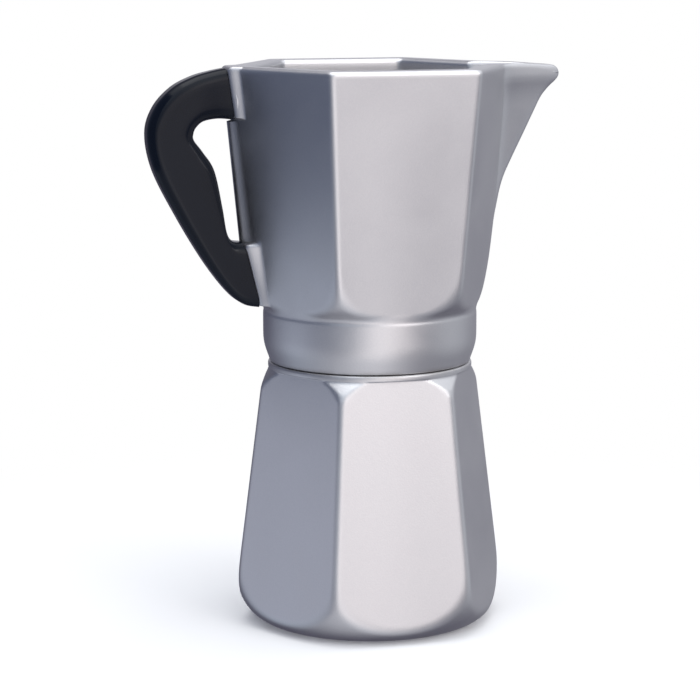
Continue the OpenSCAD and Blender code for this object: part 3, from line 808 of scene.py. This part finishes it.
# Stains are (height of the middle, half height, depth), in metres: dulling at the seam, foot and basket's floor
cast = finish("Cast aluminium", (0.585, 0.585, 0.605), (0.655, 0.65, 0.66), 1.0, 0.39, broad=26.0, fine=1300.0,
              cloud=0.45, bump=0.13, scratch=0.03, stains=((0.1287, 0.0028, 0.3), (0.0015, 0.003, 0.3)))
pressed = finish("Pressed aluminium", (0.66, 0.66, 0.67), (0.74, 0.74, 0.745), 1.0, 0.3, broad=40.0, fine=1500.0,
                 bump=0.2, lines=0.8, pitch=1100.0, scratch=0.06, stains=((0.101, 0.006, 0.4),))
silicone = finish("Silicone", (0.74, 0.72, 0.66), (0.83, 0.81, 0.76), 0.0, 0.5, broad=60.0, fine=1400.0, bump=0.15,
                  **{"Subsurface Weight": 0.15, "Subsurface Radius": (0.004, 0.003, 0.002), "IOR": 1.41})
brass = finish("Turned brass", (0.6, 0.4, 0.16), (0.78, 0.57, 0.27), 1.0, 0.24, broad=120.0, fine=1800.0, bump=0.2,
               lines=1.0, pitch=2200.0, scratch=0.05)
fibre = finish("Red fibre", (0.2, 0.045, 0.03), (0.36, 0.1, 0.06), 0.0, 0.7, broad=400.0, fine=3000.0, bump=0.5)
steel = finish("Stainless steel", (0.56, 0.56, 0.57), (0.66, 0.66, 0.67), 1.0, 0.25, broad=150.0, fine=2000.0,
               bump=0.15, lines=0.7, pitch=2600.0, scratch=0.04)
black = finish("Black gloss", (0.002, 0.0035, 0.008), (0.0035, 0.0055, 0.011), 0.0, 0.13, broad=22.0, fine=420.0,
               cloud=0.8, bump=0.035, scratch=0.02, spread=0.05, **{"Specular IOR Level": 0.24, "IOR": 1.45})
FINISH = {"cast_aluminium": cast, "pressed_aluminium": pressed, "silicone": silicone, "brass": brass, "fibre": fibre,
          "steel": steel, "black_handle": black}

# ---------- pieces ----------

HELIX, PERFORATED = helix_tree(), perforated_tree()
slots = {row["node"]: row["material_slot"] for row in frame["record"]["subparts"]}
bodies = frame["record"]["behaviour"]["bodies"]
body_of = {node_name: body for body, names in bodies.items() for node_name in names}


def stand_for(obj, node_name):
    """The piece takes a CAD node's place, body and finish."""
    slot_name = slots[node_name]
    obj.data.materials.clear()
    obj.data.materials.append(FINISH[slot_name])
    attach(obj, body_of[node_name])
    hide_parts(node_name)
    return obj


PITCH = 4
NECK_THREAD_Z = SEAM_Z + 3.6
neck_thread = grow("neck_thread", HELIX, radius=43.6 * MM, pitch=PITCH * MM, from_turn=0.0, to_turn=1.75,
                   height=NECK_THREAD_Z * MM, outward=1.0, material=cast)
skirt_thread = grow("skirt_thread", HELIX, radius=45.3 * MM, pitch=PITCH * MM, from_turn=-0.5, to_turn=1.0,
                    height=(NECK_THREAD_Z + PITCH / 2) * MM, outward=-1.0, material=cast)
jug = join("jug_casting", [build_jug(), skirt_thread])
boiler = join("boiler_casting", [build_boiler(), neck_thread])
handle = build_handle()
stand_for(jug, "upper_chamber")
stand_for(boiler, "boiler")
stand_for(handle, "handle")


def funnel_pieces():
    """Spun basket with a rolled flange, its stem, and the perforated floor between them."""
    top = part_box("funnel")[1][2] / MM
    flange = top - 1
    outline = rounded([
        (43, flange), (43, top), (39.2, top), (38.8, flange + 0.4), (38.8, 101.6), (36.8, 101.6), (36, 100), (7, 90.2),
        (4.7, 86), (4.7, 9.5), (5.5, 9.5), (5.5, 85.6), (7.6, 89.2), (37, 99.2), (39.6, 101.2), (39.6, flange)
    ], 0.45, 5)
    basket = turned("funnel_basket", outline, 144)
    floor_low, floor_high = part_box("funnel_strainer")
    strainer = grow("funnel_floor", PERFORATED, False, radius=38.75 * MM, height=floor_low[2],
                    thickness=floor_high[2] - floor_low[2], rings=5, spacing=6.6 * MM, hole_radius=0.9 * MM,
                    broken_edge=0.15 * MM, material=pressed)
    stand_for(basket, "funnel")
    stand_for(strainer, "funnel_strainer")


def filter_piece():
    """Perforated plate with a rolled lip that centres it in the gasket."""
    radius, _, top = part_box("filter_plate")[1]
    sheet = 0.8 * MM
    disc = grow("disc", PERFORATED, False, radius=radius, height=top - sheet, thickness=sheet, rings=6,
                spacing=5.4 * MM, hole_radius=0.6 * MM, broken_edge=0.15 * MM, material=pressed)
    low, high = top / MM - 2.2, top / MM - 0.75
    lip = turned("lip", rounded([(35.4, low), (36.4, low), (36.4, high), (35.4, high)], 0.35, 4), 144)
    plate = join("filter_disc", [disc, lip])
    plate.data.polygons.foreach_set("use_smooth", [False] * len(plate.data.polygons))
    stand_for(plate, "filter_plate")


def gasket_piece():
    """Ring with soft edges."""
    low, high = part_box("gasket")
    r, z0, z1 = high[0] / MM, low[2] / MM, high[2] / MM
    outline = rounded([(r, z0), (r, z1), (36.6, z1), (36.6, z0)], 0.7, 5)
    stand_for(turned("gasket_ring", outline, 144), "gasket")


def spring_piece():
    """Coil spring with flat end turns."""
    low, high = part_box("valve_spring")
    wire, turns, flat_turns = 0.7, 6.0, 0.8
    climb = (high[1] - low[1]) / MM - 3 * wire
    wound = grow("valve_coil", HELIX, radius=2.35 * MM, pitch=climb / (turns - 2 * flat_turns) * MM, from_turn=0.0,
                 to_turn=turns, height=0.0, flat_turns=flat_turns, flat_pitch=wire / flat_turns * MM,
                 root_width=wire * MM, crest_width=wire * MM, depth=wire * MM, sunk=wire / 2 * MM,
                 rounding=0.34 * MM, taper=0.0, steps_per_turn=40.0, material=steel)
    foot = min(v.co.z for v in wound.data.vertices)
    wound.data.transform(Matrix.Translation((0, 0, -foot)))
    along(wound, (0, low[1] / MM, VALVE_Z), (0, 1, 0))
    stand_for(wound, "valve_spring")
    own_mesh(wound)


def screw_pieces():
    """Pan-head screws with a hexagon socket and a rolled thread, along the two screw lines."""
    for name, (origin, direction) in zip(("handle_screw_top", "handle_screw_bottom"), SCREWS):
        theta = np.radians(np.arange(0, 360, 5.0))
        socket = hexagon(theta, 1.75, 0.15)
        rings = [ring_at(theta, r, z) for r, z in [
            (0.6, -10.5), (1.7, -10.5), (2.05, -10), (2.05, 0), (2.05, 6.6), (2.5, 7), (2.5, 11.8), (2.6, 12),
            (4.2, 12), (4.5, 12.15), (4.6, 12.5), (4.6, 13.1), (4.4, 13.8), (4, 14.35), (3.4, 14.7), (2.8, 14.88),
            (2.2, 14.9), (socket + 0.12, 14.9), (socket, 14.75), (socket, 13.2), (0.5 * socket, 13.1)
        ]]
        shank = new_object("shank", *loft(rings))
        thread = grow("thread", HELIX, radius=2.05 * MM, pitch=0.8 * MM, from_turn=0.0, to_turn=20.0, height=-9.9 * MM,
                      root_width=0.7 * MM, crest_width=0.12 * MM, depth=0.49 * MM, sunk=0.05 * MM, rounding=0.03 * MM,
                      taper=0.5, steps_per_turn=28.0, material=steel)
        screw = join(name.replace("handle", "fixing"), [shank, thread])
        screw.data.polygons.foreach_set("use_smooth", [False] * len(screw.data.polygons))
        along(screw, origin, direction)
        stand_for(screw, name)


funnel_pieces()
filter_piece()
gasket_piece()
spring_piece()
screw_pieces()

for name, obj in frame["nodes"].items():
    obj.data.materials.clear()
    obj.data.materials.append(FINISH[slots[name]])

# ---------- stage ----------

floor = new_object("floor", [(-6, -6, 0), (6, -6, 0), (6, 6, 0), (-6, 6, 0)], [(0, 1, 2, 3)])
fm = bpy.data.materials.new("Floor")
fm.use_nodes = True
ft = fm.node_tree
ft.nodes.clear()
# the floor takes shadows near the pot and fades to plain white away from it
far = put(ft, "ShaderNodeVectorMath", {0: put(ft, "ShaderNodeTexCoord").outputs["Object"]}, operation="LENGTH")
fade = remap(ft, far.outputs["Value"], 0.085, 0.4, curve="SMOOTHSTEP")
matte = put(ft, "ShaderNodeBsdfDiffuse", {"Color": (0.93, 0.93, 0.93, 1)})
glow = put(ft, "ShaderNodeEmission", {"Color": (1, 1, 1, 1), "Strength": 1.0})
blend = put(ft, "ShaderNodeMixShader", {0: fade, 1: matte.outputs[0], 2: glow.outputs[0]})
put(ft, "ShaderNodeOutputMaterial", {"Surface": blend.outputs[0]})
floor.data.materials.append(fm)
floor.visible_glossy = False

world = bpy.data.worlds.new("Studio")
bpy.context.scene.world = world
world.use_nodes = True
wt = world.node_tree
wt.nodes.clear()
coords = put(wt, "ShaderNodeTexCoord")


def lobe(direction, sharpness, strength):
    """Brightness that falls away from a direction."""
    d = Vector(direction).normalized()
    dot = put(wt, "ShaderNodeVectorMath", {0: coords.outputs["Generated"], 1: tuple(d)}, operation="DOT_PRODUCT")
    power = calc(wt, "POWER", calc(wt, "MAXIMUM", dot.outputs["Value"], 0.0), sharpness)
    return calc(wt, "MULTIPLY", power, strength)


sky = put(wt, "ShaderNodeRGB")
sky.outputs[0].default_value = (0.093, 0.088, 0.128, 1)
total = sky.outputs[0]
# Soft lights of the studio: direction, sharpness, strength and tint
for direction, sharpness, strength, color in (
    ((-0.15, -0.95, -0.18), 20.0, 0.8, (1.0, 0.96, 0.93)),
    ((-0.05, -0.9, -0.4), 20.0, 0.6, (1.0, 0.915, 0.88)),
    ((0.27, -0.94, 0.22), 16.0, 1.62, (1.0, 0.92, 0.89)),
    ((0.0, -0.75, 0.65), 9.0, 0.85, (0.95, 0.98, 0.99)),
    ((0.5, -0.5, 0.7), 8.0, 0.9, (0.94, 0.99, 1.0)),
    ((-0.28, -0.05, 0.95), 7.0, 1.95, (0.97, 0.99, 1.0)),
    ((0.7, 0.22, 0.66), 8.0, 1.15, (0.95, 0.98, 1.0)),
    ((0.96, -0.15, -0.12), 7.0, 0.54, (0.93, 0.98, 1.0)),
    ((0.72, 0.66, -0.2), 7.0, 0.2, (0.95, 0.97, 1.0)),
    ((0.27, 0.93, 0.26), 18.0, 0.6, (0.97, 0.97, 1.0)),
    ((-0.97, 0.2, 0.1), 7.0, 0.36, (0.88, 0.87, 1.0)),
    ((-0.88, 0.25, -0.4), 8.0, 0.46, (0.74, 0.88, 1.0)),
    ((-0.6, -0.6, 0.5), 7.0, 0.6, (0.72, 0.87, 1.0)),
    ((-0.2, -0.6, -0.75), 4.0, 0.8, (0.94, 0.97, 1.0)),
):
    bright = lobe(direction, sharpness, strength)
    part = put(wt, "ShaderNodeVectorMath", {0: color, "Scale": bright}, operation="SCALE")
    total = put(wt, "ShaderNodeVectorMath", {0: total, 1: part.outputs[0]}, operation="ADD").outputs[0]
studio = put(wt, "ShaderNodeBackground", {"Color": total, "Strength": 1.0})
white = put(wt, "ShaderNodeBackground", {"Color": (1, 1, 1, 1), "Strength": 1.0})
path = put(wt, "ShaderNodeLightPath")
seen = put(wt, "ShaderNodeMixShader",
           {0: path.outputs["Is Camera Ray"], 1: studio.outputs[0], 2: white.outputs[0]})
put(wt, "ShaderNodeOutputWorld", {"Surface": seen.outputs[0]})

bpy.context.scene.view_settings.view_transform = "Standard"


def area_light(name, place, target, size, power, color):
    """Rectangular light at a place, turned to a target."""
    data = bpy.data.lights.new(name, "AREA")
    data.shape = "RECTANGLE"
    data.size, data.size_y = size
    data.energy = power
    data.color = color
    light = bpy.data.objects.new(name, data)
    bpy.context.scene.collection.objects.link(light)
    light.location = place
    light.rotation_mode = "QUATERNION"
    light.rotation_quaternion = (Vector(target) - Vector(place)).to_track_quat("-Z", "Y")


area_light("key", (0.9, -1.3, 0.9), (0, 0, 0.12), (0.8, 0.8), 4.2, (1, 0.98, 0.97))
area_light("top", (0.0, 0.0, 1.6), (0, 0, 0.1), (1.2, 1.2), 5, (1, 1, 1))

# Dark glowing card on the left that only reflections see: a painted dark reflection on the jug's left faces
card_x, (near, far_edge), (bottom, top) = -0.27, (-0.2, 0.3), (0.13, 0.5)
card_corners = [(card_x, near, bottom), (card_x, far_edge, bottom), (card_x, far_edge, top), (card_x, near, top)]
card = new_object("card", card_corners, [(0, 1, 2, 3)])
card_look = bpy.data.materials.new("Card")
card_look.use_nodes = True
card_look.node_tree.nodes.clear()
# The card is an emission, not a felt: its dull bluish glow lights nothing and only paints a darker reflection into the
# metal near the handle
card_reflection_glow = put(card_look.node_tree, "ShaderNodeEmission", {"Color": (0.127, 0.149, 0.222, 1), "Strength": 1.0})
put(card_look.node_tree, "ShaderNodeOutputMaterial", {"Surface": card_reflection_glow.outputs[0]})
card.data.materials.append(card_look)
card.visible_camera = card.visible_diffuse = card.visible_shadow = False

# ---------- camera ----------

AZIMUTH = math.radians(-15.8)
DISTANCE = 1.2
EYE_HEIGHT = 0.33374
AIM_HEIGHT = 0.13286
AIM_LEFT = 0.00962
SENSOR = 36
FOCAL = 36 * 2488.7 / 700
right = Vector((math.cos(AZIMUTH), math.sin(AZIMUTH), 0))
eye = Vector((DISTANCE * math.sin(AZIMUTH), -DISTANCE * math.cos(AZIMUTH), EYE_HEIGHT))
aim = Vector((0, 0, AIM_HEIGHT)) - AIM_LEFT * right
camera_data = bpy.data.cameras.new("camera")
camera_data.sensor_width = SENSOR
camera_data.lens = FOCAL
camera = bpy.data.objects.new("camera", camera_data)
bpy.context.scene.collection.objects.link(camera)
camera.location = eye
camera.rotation_mode = "QUATERNION"
camera.rotation_quaternion = (aim - eye).to_track_quat("-Z", "Y")
bpy.context.scene.camera = camera
